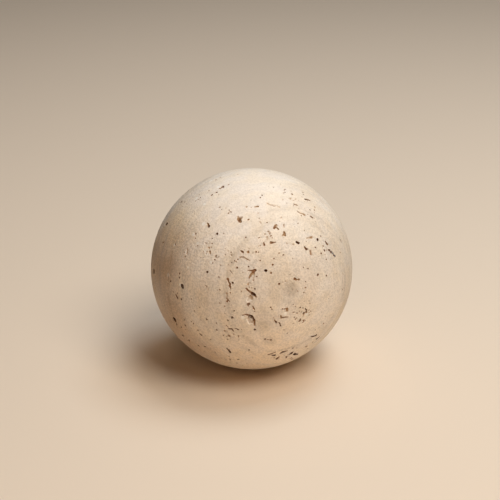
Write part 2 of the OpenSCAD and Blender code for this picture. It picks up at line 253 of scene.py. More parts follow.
# small pores of the same kind: reach, bearing, length, width
finePores = [
    # round the pole
    (5, 114, 0.8, 0.6), (9.5, 343, 0.6, 0.4), (13, 27, 0.7, 0.6), (13.5, 41, 0.7, 0.5),
    (10.5, 16, 0.5, 0.4), (21.5, 80, 0.5, 0.5), (2, 290, 0.5, 0.4), (1, 120, 0.6, 0.5),
    (16.5, 243.5, 0.7, 0.6), (16.5, 238.5, 0.6, 0.5), (12.5, 222, 0.7, 0.6),
    (11.5, 160.5, 0.6, 0.5), (10.5, 168, 0.6, 0.6), (13, 179, 0.6, 0.6), (14, 153.5, 0.8, 0.7),
    (15, 162, 0.8, 0.7), (13, 155, 0.7, 0.6), (15, 156, 0.7, 0.6), (12.5, 172, 0.5, 0.4),
    (15.5, 184.5, 0.6, 0.5), (17, 182, 0.7, 0.6), (11, 134.5, 0.6, 0.5), (12.5, 137.5, 0.5, 0.4),
    (8, 195, 0.6, 0.5), (9, 184.5, 0.5, 0.4), (20, 210.5, 0.6, 0.5), (20.5, 207.5, 0.7, 0.6),
    (21.5, 205, 0.6, 0.5), (17, 218.5, 0.5, 0.4), (24.5, 115, 0.6, 0.4), (7, 60, 0.5, 0.4),
    (16.5, 165, 0.6, 0.4), (13.5, 167, 0.5, 0.5),
    # above the pole
    (22.5, 342.5, 1.0, 0.6), (20.5, 347.5, 0.9, 0.6), (21.5, 332, 0.8, 0.5), (17.5, 1.5, 0.6, 0.4),
    (26.5, 39, 0.6, 0.6), (26, 50, 0.7, 0.6), (29, 52.5, 0.7, 0.7), (26, 61, 0.6, 0.6),
    (27.5, 24.5, 0.4, 0.5), (32, 58, 0.6, 0.5), (32.5, 61, 0.8, 0.6), (33, 66, 0.8, 0.6),
    (33.5, 68.5, 0.7, 0.5), (31.5, 318.5, 0.6, 0.4), (35.5, 344.5, 0.8, 0.5),
    (40.5, 347.5, 0.8, 0.5), (47, 336.5, 1.2, 0.5), (48.5, 15, 0.6, 0.4), (37, 15.5, 0.6, 0.5),
    (42.5, 20, 0.6, 0.5), (48.5, 29, 0.7, 0.5), (59, 331.5, 0.6, 0.5), (57.5, 329.5, 0.7, 0.5),
    (58, 355.5, 0.8, 0.6), (56.5, 353.5, 0.7, 0.5), (61, 13, 0.9, 0.5), (62, 26.5, 1.1, 0.5),
    (60, 12, 0.6, 0.4), (66, 12, 0.6, 0.4), (63, 6, 0.5, 0.4), (48, 33, 0.5, 0.4),
    (42, 34, 0.5, 0.4), (39, 12, 0.5, 0.4), (50, 10, 0.5, 0.4), (84.5, 353.5, 1.1, 0.5),
    (26, 317, 0.6, 0.5), (33.5, 22, 0.4, 0.4), (52.5, 344, 0.6, 0.4), (57, 331.5, 0.5, 0.4),
    (47, 65, 1.0, 0.4),
    # upper left
    (51, 317, 0.7, 0.6), (55, 310, 0.5, 0.4), (53.5, 307, 0.7, 0.6), (54, 299, 0.8, 0.6),
    (56.5, 295.5, 0.7, 0.5), (48.5, 295, 0.8, 0.5), (37.5, 303, 0.7, 0.6), (36.5, 303, 0.6, 0.6),
    (36.5, 305.5, 0.8, 0.6), (43.5, 304, 0.8, 0.5), (38.5, 300.5, 0.8, 0.5), (39.5, 298, 0.6, 0.5),
    (29.5, 304, 0.6, 0.5), (23.5, 297, 0.6, 0.6), (43, 286, 0.7, 0.6), (50, 285.5, 0.4, 0.4),
    (64.5, 329, 0.7, 0.6), (62.5, 328.5, 0.6, 0.5), (61.5, 331, 0.5, 0.4), (66, 307.5, 0.7, 0.6),
    (64.5, 305, 0.7, 0.6), (61, 301.5, 0.6, 0.6), (47, 299.5, 0.6, 0.4), (68, 294.5, 1.1, 0.7),
    (77, 297, 0.6, 0.6), (73, 334.5, 0.6, 0.5), (82, 327, 0.8, 0.6), (76.5, 343.5, 0.9, 0.6),
    (76, 340, 0.7, 0.5), (90, 345, 0.7, 0.6), (89.5, 342, 1.1, 0.7), (90.5, 317.5, 0.9, 0.6),
    (91, 315.5, 0.8, 0.5), (96, 317, 0.8, 0.6), (91, 295, 1.0, 0.5), (89.5, 295.5, 0.8, 0.5),
    (88.5, 294, 0.8, 0.5), (99.5, 302.5, 0.9, 0.7), (41.5, 308, 0.5, 0.4), (31, 296, 0.4, 0.4),
    (77.5, 338, 0.7, 0.5),
    # left and lower left
    (42, 276, 0.7, 0.7), (36, 274, 0.9, 0.6), (30, 276, 0.7, 0.6), (42.5, 265, 0.6, 0.6),
    (40, 262, 0.7, 0.6), (41, 255.5, 0.7, 0.5), (25, 249, 0.6, 0.5), (31, 228.5, 0.7, 0.7),
    (48.5, 237.5, 0.8, 0.7), (48, 233, 0.6, 0.5), (41, 249, 0.8, 0.7), (23, 280, 0.8, 0.6),
    (26, 281.5, 0.7, 0.5), (24.5, 281, 0.6, 0.5), (49.5, 277.5, 0.6, 0.5), (68, 282, 0.8, 0.7),
    (68, 279.5, 0.8, 0.7), (75, 276, 1.1, 0.8), (94.5, 281.5, 1.2, 0.8), (99, 283.5, 1.2, 0.8),
    (67, 266.5, 0.9, 0.8), (53, 253, 0.8, 0.7), (57, 253.5, 0.6, 0.5), (48, 249, 0.6, 0.5),
    (50, 243.5, 0.9, 0.8), (79, 249, 1.0, 0.8), (75, 247.5, 0.8, 0.7), (69, 253, 0.6, 0.5),
    (70.5, 249, 0.8, 0.7), (80.5, 240.5, 0.9, 0.8), (63, 250.5, 0.5, 0.5), (64, 252, 0.5, 0.5),
    (62.5, 245.5, 0.9, 0.8), (76.5, 237, 1.1, 1.0), (71.5, 233, 0.8, 0.7), (79.5, 240.5, 0.9, 0.8),
    (61, 215.5, 1.0, 0.8), (60, 214, 0.6, 0.5), (58.5, 218.5, 0.8, 0.7), (57, 212, 0.6, 0.5),
    (62.5, 209, 1.0, 0.8), (69.5, 215, 0.7, 0.5), (58.5, 204.5, 0.8, 0.7), (41.5, 222, 0.7, 0.5),
    (36, 262, 0.5, 0.4), (72, 246, 0.5, 0.5), (58, 237, 0.5, 0.5), (55, 262, 0.5, 0.5),
    (79, 249, 0.8, 0.7), (98, 270, 1.0, 0.7), (50, 278, 0.5, 0.5),
    # lower right and right
    (32.5, 208.5, 0.8, 0.6), (50.5, 169.5, 0.9, 0.8), (39.3, 177.3, 0.9, 0.9),
    (40.4, 173.4, 0.8, 0.8), (44.1, 163.2, 1.0, 0.9), (48.5, 161.3, 1.0, 1.0),
    (52.6, 174.2, 0.9, 1.0), (55.3, 171.9, 1.0, 1.1), (33.5, 141.5, 0.9, 0.7), (33, 148, 0.7, 0.5),
    (32.5, 152.5, 0.7, 0.5), (37.5, 104, 0.5, 0.6), (30, 135, 0.5, 0.4), (28, 160, 0.5, 0.4),
    (26, 190, 0.5, 0.4), (35, 125, 0.4, 0.4), (30, 85, 0.4, 0.5), (47.5, 190, 0.6, 0.6),
]

# thin cracks: reach, bearing, width
fineCracks = [
    [(36, 308, 0.5), (34.5, 310, 0.5), (33, 310, 0.5), (30.5, 310, 0.4)],
    [(38, 294, 0.4), (36.5, 292, 0.4)],
    [(39.5, 239.5, 0.5), (38.5, 237.5, 0.6)],
    [(91, 294.5, 0.4), (89, 295.5, 0.4)],
    [(78, 280, 0.6), (77, 276.5, 0.6)],
    [(47, 63.5, 0.4), (46.5, 66.5, 0.4)],
]

# clusters of small pores: middle reach and bearing, how far in degrees most of them spread,
# count, least and greatest width in mm
poreClusters = [
    (48, 304, 10, 14, 8, 0.4, 0.5),
    (55, 303, 4, 6, 8, 0.4, 0.5),
    (17, 180, 6, 30, 12, 0.4, 0.6),
    (20, 160, 5, 20, 10, 0.4, 0.6),
    (52, 24, 11, 16, 26, 0.4, 0.6),
    (34, 340, 5, 10, 10, 0.4, 0.6),
    (44, 238, 7, 12, 14, 0.4, 0.55),
    (60, 210, 9, 18, 20, 0.4, 0.6),
    (88, 330, 10, 18, 22, 0.4, 0.6),
    (30, 55, 6, 14, 12, 0.4, 0.6),
    (47, 180, 5, 12, 12, 0.4, 0.6),
    (75, 265, 16, 22, 18, 0.4, 0.55),
]

# what a user would change about the ball's shape, besides the lists of pores above
stoneBall = {
    "facets": 6,               # subdivisions of the sphere
    "waves": 0.05 * mm,        # hand-honed unevenness of the surface
    "waveSize": 12 * mm,
    "waveDetail": 1,
    "waveLevel": 0.6,          # over a half, so that the waves stay inside the true sphere
    "smoothAngle": 35,
    "lumpFacets": 2,           # subdivisions of the lumps that pores are cut with
    "beadPitch": 0.6,          # spacing of the lumps along a pore, in widths
    "fineTall": 1.4,           # lumps of the small pores are this much higher than wide
    "swell": 0.16 * mm,        # the stone crumbles a little further round every pore
    "uneven": 0.25,            # how much the lumps of a pore differ in size
    "taper": 1.2,              # how much a pore narrows towards its ends
    "voxel": 0.18 * mm,        # facet size inside the pores
    "ragged": 0.42 * mm,       # how far the pore walls are roughened
    "raggedSize": 0.8 * mm,
    "fineRagged": 0.2 * mm,    # the same for the small pores
    "fineRaggedSize": 0.5 * mm,
    "raggedDetail": 3,
    # the far side: rings of pores at these reaches, as in the part's source
    "farSeams": [66, 88, 104, 118, 131, 146, 160],
    "farPores": 9,             # in each ring
    "farBand": 8,              # degrees that the pores of a ring spread over
    "farLength": 5,            # greatest length in mm
    "farWidth": (0.7, 1.8),    # least and greatest width in mm
    "farSeed": 41,
    "farFrom": 0.15,           # where the far side starts, from -1 at the front to 1 at the back
    # a thin scatter of small pores all over
    "scatterSeed": 12,
    "scatterCount": 380,
    "scatterWidth": (0.4, 0.75),
    "scatterStretch": (1, 1, 1.5, 2.5),    # lengths to draw from, in widths
    "scatterHighest": 0.98,    # how near they come to both poles, as a part of the radius
    "frontLeftOut": 0.75,      # share left out where the pores are listed one by one
    "clusterStretch": (1, 1, 1.6, 2.2),
    "smallKinds": ("saucer", "open"),
}

deselectAll()
bpy.ops.mesh.primitive_ico_sphere_add(subdivisions=stoneBall["lumpFacets"], radius=0.5)  # 1 across
lumpPattern = bpy.context.object
lumpPattern.name = "poreLump"


def addLump(reach, bearing, width, cut, tall=1):
    # a lump sunk so far that it leaves a rim of the given width
    size = (width * mm + stoneBall["swell"]) / math.sqrt(1 - (2 * cut - 1) ** 2)
    height = size * tall
    turn = surfaceTurn(reach, bearing)
    centre = turn @ Vector((0, 0, ballRadius - cut * height + height / 2))
    lump = lumpPattern.copy()
    lump.data = lumpPattern.data.copy()
    lump.matrix_world = Matrix.LocRotScale(centre, turn.to_quaternion(), Vector((size, size, height)))
    bpy.context.collection.objects.link(lump)
    return lump


def beddedPore(reach, bearing, length, width, cut, tall=1):
    # lumps along a line of equal reach, narrower towards the ends
    count = max(1, math.floor(length / (width * stoneBall["beadPitch"]) + 0.5) - 1)
    spread = math.degrees((length - width) / (ballRadiusMm * math.sin(math.radians(reach))))
    seed = reach * 7 + bearing
    lumps = []
    for i in range(count):
        along = 0 if count == 1 else i / (count - 1) - 0.5
        drift = (2 * share(seed, 2 * i) - 1) * stoneBall["uneven"]
        swell = (2 * share(seed, 2 * i + 1) - 1) * stoneBall["uneven"]
        taper = 1 - stoneBall["taper"] * along * along
        lumps.append(addLump(
            reach + drift * width, bearing + along * spread, width * taper * (1 + swell), cut, tall,
        ))
    return lumps


def crevice(chain):
    # lumps from place to place along a chain of reach, bearing, width and cut
    lumps = []
    for (reachA, bearingA, widthA, cutA), (reachB, bearingB, widthB, cutB) in zip(chain, chain[1:]):
        across = (bearingB - bearingA) * math.sin(math.radians(reachA))
        gap = math.radians(math.hypot(reachB - reachA, across)) * ballRadiusMm
        steps = max(1, math.ceil(gap / (widthA * stoneBall["beadPitch"])))
        for i in range(steps + 1):
            part = i / steps
            lumps.append(addLump(
                reachA + (reachB - reachA) * part,
                bearingA + (bearingB - bearingA) * part,
                widthA + (widthB - widthA) * part,
                cutA + (cutB - cutA) * part,
            ))
    return lumps


def onFarSide(reach, bearing):
    return (surfaceTurn(reach, bearing) @ Vector((0, 0, 1))).y >= stoneBall["farFrom"]


coarseLumps = []
for reach, bearing, length, width, kind in singlePores:
    coarseLumps += beddedPore(reach, bearing, length, width, poreCut[kind])
for chain in crevices:
    coarseLumps += crevice([(reach, bearing, width, poreCut[kind]) for reach, bearing, width, kind in chain])
least, greatest = stoneBall["farWidth"]
for seam in stoneBall["farSeams"]:
    seed = stoneBall["farSeed"] + seam
    for i in range(stoneBall["farPores"]):
        bearing = (i + share(seed, 5 * i)) * 360 / stoneBall["farPores"]
        reach = seam + stoneBall["farBand"] * (share(seed, 5 * i + 1) - 0.5)
        grow = share(seed, 5 * i + 2)
        width = least + (greatest - least) * grow * grow
        length = width + (stoneBall["farLength"] - width) * share(seed, 5 * i + 3) * grow
        cut = poreCut["saucer"] + (poreCut["deep"] - poreCut["saucer"]) * share(seed, 5 * i + 4)
        if onFarSide(reach, bearing):
            coarseLumps += beddedPore(reach, bearing, length, width, cut)

chance = random.Random(stoneBall["scatterSeed"])
fineLumps = []
for reach, bearing, length, width in finePores:
    fineLumps += beddedPore(reach, bearing, length, width, poreCut["open"], stoneBall["fineTall"])
for chain in fineCracks:
    fineLumps += crevice([(reach, bearing, width, poreCut["open"]) for reach, bearing, width in chain])
for reach, bearing, reachSpread, bearingSpread, count, least, greatest in poreClusters:
    for i in range(count):
        width = chance.uniform(least, greatest)
        fineLumps += beddedPore(
            reach + chance.gauss(0, reachSpread / 2),
            bearing + chance.gauss(0, bearingSpread / 2),
            width * chance.choice(stoneBall["clusterStretch"]),
            width,
            poreCut[chance.choice(stoneBall["smallKinds"])],
        )
highest = stoneBall["scatterHighest"]
for i in range(stoneBall["scatterCount"]):
    reach = math.degrees(math.acos(chance.uniform(-highest, highest)))
    bearing = chance.uniform(0, 360)
    if not onFarSide(reach, bearing) and chance.random() < stoneBall["frontLeftOut"]:
        continue
    width = chance.uniform(*stoneBall["scatterWidth"])
    fineLumps += beddedPore(
        reach, bearing, width * chance.choice(stoneBall["scatterStretch"]), width,
        poreCut[chance.choice(stoneBall["smallKinds"])],
    )
bpy.data.objects.remove(lumpPattern)
print("lumps:", len(coarseLumps), "coarse,", len(fineLumps), "fine")

cutters = []
for name, lumps, ragged, raggedSize in (
    ("coarsePores", coarseLumps, stoneBall["ragged"], stoneBall["raggedSize"]),
    ("finePores", fineLumps, stoneBall["fineRagged"], stoneBall["fineRaggedSize"]),
):
    cutter = joinAll(lumps, name)
    applyModifier(cutter, "REMESH", mode="VOXEL", voxel_size=stoneBall["voxel"])
    applyModifier(
        cutter, "DISPLACE",
        texture=cloudTexture(name, raggedSize, stoneBall["raggedDetail"]),
        texture_coords="LOCAL", strength=ragged, mid_level=0.5,
    )
    cutters.append(cutter)
    print(name, len(cutter.data.polygons), "faces")

deselectAll()
bpy.ops.mesh.primitive_ico_sphere_add(subdivisions=stoneBall["facets"], radius=ballRadius)
travertine = bpy.context.object
travertine.name = "travertineBall"
applyModifier(
    travertine, "DISPLACE",
    texture=cloudTexture("honing", stoneBall["waveSize"], stoneBall["waveDetail"]),
    texture_coords="LOCAL", strength=stoneBall["waves"], mid_level=stoneBall["waveLevel"],
)
for cutter in cutters:
    applyModifier(travertine, "BOOLEAN", operation="DIFFERENCE", object=cutter, solver="MANIFOLD")
    bpy.data.objects.remove(cutter)
makeActive(travertine)
bpy.ops.object.shade_smooth_by_angle(angle=math.radians(stoneBall["smoothAngle"]))
print("ball:", sum(len(face.vertices) - 2 for face in travertine.data.polygons), "triangles")


def addNode(tree, kind, inputs=(), **settings):
    made = tree.nodes.new(kind)
    for name, value in settings.items():
        setattr(made, name, value)
    for key, value in dict(inputs).items():
        if isinstance(value, bpy.types.NodeSocket):
            tree.links.new(value, made.inputs[key])
        else:
            made.inputs[key].default_value = value
    return made


def newGroup(name, inputs, outputs):
    group = bpy.data.node_groups.new(name, "ShaderNodeTree")
    for socketName, (kind, value) in inputs.items():
        socket = group.interface.new_socket(socketName, in_out="INPUT", socket_type=kind)
        if value is not None:
            socket.default_value = value
    for socketName, kind in outputs.items():
        group.interface.new_socket(socketName, in_out="OUTPUT", socket_type=kind)
    return group, group.nodes.new("NodeGroupInput").outputs, group.nodes.new("NodeGroupOutput").inputs


def useGroup(tree, group, inputs):
    return addNode(tree, "ShaderNodeGroup", inputs, node_tree=group).outputs[0]


def sums(tree, operation, first, second, clamp=False):
    return addNode(
        tree, "ShaderNodeMath", {0: first, 1: second}, operation=operation, use_clamp=clamp
    ).outputs[0]


def ramp(tree, value, low, high, outLow=0.0, outHigh=1.0):
    return addNode(tree, "ShaderNodeMapRange", {
        "Value": value, "From Min": low, "From Max": high, "To Min": outLow, "To Max": outHigh,
    }, interpolation_type="SMOOTHSTEP").outputs[0]


def mixColour(tree, amount, under, over):
    # sockets 0, 6 and 7 are the factor and the two colours
    return addNode(tree, "ShaderNodeMix", {0: amount, 6: under, 7: over}, data_type="RGBA").outputs[2]


# noise laid down in beds: long across the pole's axis, thin along it
beddedNoise, given, result = newGroup(
    "beddedNoise",
    {
        "Position": ("NodeSocketVector", None),
        "Width": ("NodeSocketFloat", 10.0),
        "Thickness": ("NodeSocketFloat", 2.0),
        "Detail": ("NodeSocketFloat", 2.0),
    },
    {"Value": "NodeSocketFloat"},
)
acrossBeds = sums(beddedNoise, "DIVIDE", 1.0, given["Width"])
alongPole = sums(beddedNoise, "DIVIDE", 1.0, given["Thickness"])
stretch = addNode(beddedNoise, "ShaderNodeCombineXYZ", {0: acrossBeds, 1: acrossBeds, 2: alongPole})
stretched = addNode(
    beddedNoise, "ShaderNodeVectorMath", {0: given["Position"], 1: stretch.outputs[0]}, operation="MULTIPLY"
)
noise = addNode(
    beddedNoise, "ShaderNodeTexNoise",
    {"Vector": stretched.outputs[0], "Scale": 1.0, "Detail": given["Detail"], "Roughness": 0.55},
)
beddedNoise.links.new(noise.outputs["Fac"], result["Value"])

# soft-edged patch round one place
spotMask, given, result = newGroup(
    "spotMask",
    {
        "Position": ("NodeSocketVector", None),
        "Centre": ("NodeSocketVector", None),
        "Radius": ("NodeSocketFloat", 4.0),
        "Edge": ("NodeSocketFloat", 1.0),
    },
    {"Value": "NodeSocketFloat"},
)
distance = addNode(
    spotMask, "ShaderNodeVectorMath", {0: given["Position"], 1: given["Centre"]}, operation="DISTANCE"
).outputs["Value"]
outerEdge = sums(spotMask, "ADD", given["Radius"], given["Edge"])
innerEdge = sums(spotMask, "SUBTRACT", given["Radius"], given["Edge"])
spotMask.links.new(ramp(spotMask, distance, outerEdge, innerEdge), result["Value"])

# round pin holes in part of the cells of a grid
pinHoles, given, result = newGroup(
    "pinHoles",
    {
        "Position": ("NodeSocketVector", None),
        "Cell": ("NodeSocketFloat", 1.0),
        "Share": ("NodeSocketFloat", 0.2),
        "Radius": ("NodeSocketFloat", 0.2),
    },
    {"Value": "NodeSocketFloat"},
)
cells = addNode(pinHoles, "ShaderNodeTexVoronoi", {
    "Vector": given["Position"], "Scale": sums(pinHoles, "DIVIDE", 1.0, given["Cell"]),
})
cellDraw = addNode(pinHoles, "ShaderNodeSeparateColor", {0: cells.outputs["Color"]})
chosen = sums(pinHoles, "LESS_THAN", cellDraw.outputs[0], given["Share"])
radiusInCells = sums(pinHoles, "DIVIDE", given["Radius"], given["Cell"])
# from 0.4 to 1.4 times the radius, with a soft rim over the outer part
holeSize = sums(pinHoles, "MULTIPLY", radiusInCells, sums(pinHoles, "ADD", cellDraw.outputs[1], 0.4))
inside = ramp(pinHoles, cells.outputs["Distance"], holeSize, sums(pinHoles, "MULTIPLY", holeSize, 0.4))
pinHoles.links.new(sums(pinHoles, "MULTIPLY", inside, chosen), result["Value"])

# what a user would change about the stone; a pair of limits is where a change starts and where it ends
stoneLook = {
    "cream": (0.815, 0.71, 0.583, 1),
    "warm": (0.775, 0.65, 0.51, 1),
    "grey": (0.565, 0.465, 0.355, 1),
    "pale": (0.89, 0.78, 0.65, 1),
    "dull": (0.66, 0.555, 0.435, 1),
    "umber": (0.61, 0.45, 0.32, 1),
    "honey": (0.93, 0.785, 0.625, 1),
    "russet": (0.50, 0.345, 0.225, 1),
    "sand": (0.85, 0.69, 0.47, 1),
    "tan": (0.80, 0.65, 0.48, 1),
    "bedBrown": (0.46, 0.31, 0.20, 1),
    "bedMauve": (0.50, 0.41, 0.37, 1),
    "freshAndHighlight": (0.95, 0.85, 0.72, 1),        # newly broken stone, and the painted highlight on pore lips
    "chalk": (0.96, 0.90, 0.80, 1),
    "speck": (0.05, 0.06, 0.09, 1),        # blue-grey mineral
    "pinShade": (0.47, 0.37, 0.27, 1),
    "pitBrown": (0.27, 0.125, 0.05, 1),    # deposit inside the pores
    "pitOchre": (0.45, 0.28, 0.14, 1),
    "pitDeep": (0.13, 0.05, 0.02, 1),
    "warmTint": (1.008, 0.998, 0.975, 1),
    "coolTint": (0.992, 1.002, 1.025, 1),
    "roughness": 0.62,
    "pitRoughness": 0.4,                   # added inside the pores
    "specular": 0.1,
    # how the beds wander: size of the slow noise and how far it pushes, both in mm, and its detail
    "wander": [(14.0, 3.2, 2.0), (3.0, 0.7, 2.0)],
    # noise layers: width across the beds and thickness along the pole's axis in mm, detail
    "broadBeds": (22.0, 6.0, 1.0),
    "fineBeds": (14.0, 0.9, 2.0),
    "clouds": (7.0, 5.0, 1.5),
    "mottle": (1.7, 1.5, 2.0),
    "grain": (0.75, 0.65, 2.0),
    "tint": (6.0, 4.0, 0.0),
    # limits between which a noise acts, and how much lighter and darker or rougher it turns the stone
    "bedTone": (0.3, 0.7, 0.028),
    "mottleTone": (0.35, 0.65, 0.02),
    "grainTone": (0.4, 0.6, 0.045),
    "roughnessTone": (0.3, 0.7, 0.08),
    # limits alone, or with the least and most that come out
    "creamPart": (0.35, 0.65),
    "greyPart": (0.5, 0.75, 0.0, 0.16),
    "coolPart": (0.35, 0.65),
    "bedGaps": (0.3, 0.6),
    "pinCrowding": (0.4, 0.65, 0.35, 1.0),
    # holes and flecks too small to model: cell in mm, share of the cells that have one, radius in mm
    "pins": (1.3, 0.22, 0.24),
    "finePins": (0.8, 0.28, 0.16),
    "flecks": (1.0, 0.2, 0.2),
    "pinStrength": 0.7,
    "finePinStrength": 0.8,                # next to that of the larger ones
    "fleckStrength": 0.8,
    # bump height in mm of each layer
    "pinRelief": -0.12,
    "finePinRelief": -0.07,
    "fleckRelief": 0.08,
    "bedRelief": 0.01,
    "mottleRelief": 0.07,
    "grainRelief": 0.11,
    "pitGrainRelief": 0.12,
    # coarseness of the grain: everywhere, round the smooth top, and added at the coarse left
    "coarse": 1.7,
    "coarseTop": 1.0,
    "coarseAdded": 0.6,
    # areas: reach, bearing, radius in mm, soft edge in mm
    "smoothTop": (62, 355, 22, 12),
    "coarseLeft": (75, 280, 20, 10),
    "lessStainedFace": (34, 320, 28, 4),         # the stain starts deeper here
    # depths in mm and strengths inside the pores; two values are off and on that less stained face
    "pitDepth": (0.1, 0.3),
    "stainFrom": 0.05,
    "stainTo": (0.22, 0.5),
    "stainMost": 0.95,
    "darkFrom": (0.15, 0.6),
    "darkRun": 0.4,
    # stain kept on pore walls that face the light, as painted light
    "stainOnPaintedLitWalls": (0.8, 0.3),
    "hollowPaleness": 0.48,
    "ochreNoise": (0.45, 3.0),             # scale and detail of the ochre's clouds
    "ochrePart": (0.42, 0.56),
    # the pale lip under the rim, partly broken stone and partly a painted highlight on walls that lean to the
    # light: limits of its upper edge, its lower edge, how far its wall leans, its strength
    "lipTop": (0.03, 0.08),
    "lipBottom": (0.45, 0.2),
    "lipHighlightLean": (0.05, 0.4),
    "lipHighlightStrength": (0.2, 0.9),
    # the side the window light shines from, whose pore walls are painted pale as painted light, and how far
    # they lean to it
    "paintedLightSide": (0.45, -0.35, 0.82),
    "paintedLightLean": (0.2, 0.6),
    # broad patches of colour, partly the stone's own tone and partly painted light and shade: darker umber
    # and russet along the left side and lower left, duller on the right, lighter at the lower right and
    # warmer honey towards the bottom
    # reach, bearing, radius in mm, soft edge in mm, strength, colour
    "patchesAndPaintedShading": [
        (68, 345, 22, 12, 0.8, "pale"),
        (52, 78, 13, 9, 0.85, "dull"),
        (42, 190, 14, 8, 0.95, "honey"),
        (36, 152, 12, 8, 0.8, "pale"),
        (96, 275, 13, 7, 0.75, "umber"),
        (88, 240, 14, 7, 0.95, "umber"),
        (79, 284, 6, 6, 0.7, "russet"),
        (79, 260, 8, 7, 0.6, "russet"),
        (88, 301, 7, 6, 0.9, "umber"),
        (52, 305, 8, 6, 0.55, "pale"),
        (32, 55, 9, 7, 0.45, "dull"),
        (50, 217, 8, 6, 0.7, "honey"),
        (60, 206, 11, 7, 0.35, "tan"),
        (69, 226, 7, 5, 0.6, "umber"),
        (84, 306, 9, 7, 0.55, "sand"),
        (75, 300, 6, 6, 0.3, "russet"),
        (92, 262, 6, 6, 0.35, "pale"),
        (24, 232, 4.5, 4, 0.4, "dull"),
        (15, 276, 4, 4, 0.25, "dull"),
        (3, 290, 2.6, 1.2, 0.8, "grey"),
        (5, 318, 1.8, 1.0, 0.5, "grey"),
        (6, 200, 2.2, 1.5, 0.3, "grey"),
        (27, 225, 2.6, 1.6, 0.35, "grey"),
        (33, 206, 2.4, 1.6, 0.35, "grey"),
        (36, 60, 3.0, 2.0, 0.3, "grey"),
    ],
    # single beds: from and to along the pole's axis in mm, strength, colour,
    # and how far in mm they run to all sides of a reach and bearing
    "beds": [
        (30.4, 31.6, 0.45, "grey", 39, 0, 60),
        (27.4, 28.0, 0.25, "grey", 46, 0, 60),
        # these two darken a band along the left side
        (7.6, 9.6, 0.5, "bedBrown", 78, 280, 14),
        (0.2, 3.6, 0.45, "bedMauve", 88, 280, 14),
    ],
    "bedFade": (0.5, 0.1),                 # gone this far past a face, and full this near the middle
    "bedEnd": 0.4,                         # soft part of the run
    # hollows of the crescents that kept a pale floor: reach, bearing, radius in mm
    "paleHollows": [(26.5, 267, 1.3), (30.5, 241, 1.4), (14, 208.5, 0.8)],
    "hollowEdge": 0.3,
    # spots of the blue-grey mineral: reach, bearing, radius in mm
    "specks": [(32, 58.5, 0.45), (32.5, 61.5, 0.5), (33, 64, 0.4), (33.5, 67.5, 0.5)],
    "speckEdge": 0.25,
    "speckStrength": 0.85,
    # light nicks, partly newly broken stone and partly painted highlights on the lit walls and lips of pores:
    # reach, bearing, radius in mm
    "nicksAndHighlights": [
        (14, 208.5, 0.65), (16.5, 157, 0.6), (65, 315, 0.75), (67, 306.5, 0.6), (61.5, 303, 0.5),
        (67, 295, 0.5), (99, 304, 0.6), (77.5, 296.5, 0.45), (55, 300.5, 0.65), (53.5, 299, 0.6),
        (49.5, 295, 0.55), (67, 275.5, 0.55), (77.5, 279, 0.8), (62.5, 287, 0.5),
        (84.5, 325.5, 0.65), (74.5, 325, 0.65), (24.5, 115, 0.5), (26.5, 266, 1),
        (32.5, 247.5, 0.8), (30, 240, 0.9), (79.5, 338.5, 0.65), (92, 340, 0.6),
    ],
    "nickAndHighlightEdge": 0.5,                       # as a part of the radius
    "nickAndHighlightStrength": 0.8,
}


def onSurface(reach, bearing):
    # place of a reach and bearing in bedded coordinates, in mm
    reach = math.radians(reach)
    bearing = math.radians(bearing)
    return Vector((
        math.sin(reach) * math.cos(bearing),
        -math.sin(reach) * math.sin(bearing),
        math.cos(reach),
    )) * ballRadiusMm


stone = bpy.data.materials.new("travertine")
stone.use_nodes = True
tree = stone.node_tree
shader = tree.nodes["Principled BSDF"]

place = addNode(tree, "ShaderNodeTexCoord").outputs["Object"]
inMm = addNode(tree, "ShaderNodeMapping", {
    "Vector": place,
    "Rotation": beddingTurn.transposed().to_euler(),
    "Scale": (1 / mm, 1 / mm, 1 / mm),
}, vector_type="POINT").outputs[0]


def vectorSums(operation, first, second):
    return addNode(tree, "ShaderNodeVectorMath", {0: first, 1: second}, operation=operation).outputs[0]


def scaled(vector, amount):
    return addNode(tree, "ShaderNodeVectorMath", {0: vector, "Scale": amount}, operation="SCALE").outputs[0]


def bedNoise(position, name):
    width, thickness, detail = stoneLook[name]
    return useGroup(tree, beddedNoise, {
        "Position": position, "Width": width, "Thickness": thickness, "Detail": detail,
    })


def pinMask(position, name):
    cell, part, radius = stoneLook[name]
    return useGroup(tree, pinHoles, {"Position": position, "Cell": cell, "Share": part, "Radius": radius})


def spotAt(position, reach, bearing, radius, edge):
    return useGroup(tree, spotMask, {
        "Position": position, "Centre": onSurface(reach, bearing), "Radius": radius, "Edge": edge,
    })


def paint(under, amount, strength, over):
    return mixColour(tree, sums(tree, "MULTIPLY", amount, strength), under, stoneLook[over])


def swing(value, low, high, most):
    # from -most to most
    return ramp(tree, value, low, high, -most, most)


# the beds wander: positions pushed about by slow noise
bedded = inMm
for size, amount, detail in stoneLook["wander"]:
    wander = addNode(tree, "ShaderNodeTexNoise", {"Vector": inMm, "Scale": 1 / size, "Detail": detail})
    centred = vectorSums("SUBTRACT", wander.outputs["Color"], (0.5, 0.5, 0.5))
    bedded = vectorSums("ADD", bedded, scaled(centred, amount))
fleckPlace = vectorSums("ADD", inMm, (31.0, 7.0, 19.0))  # far enough off for a pattern of its own

broadBeds = bedNoise(bedded, "broadBeds")
fineBeds = bedNoise(bedded, "fineBeds")
clouds = bedNoise(bedded, "clouds")
mottle = bedNoise(inMm, "mottle")
grain = bedNoise(inMm, "grain")
tint = bedNoise(fleckPlace, "tint")

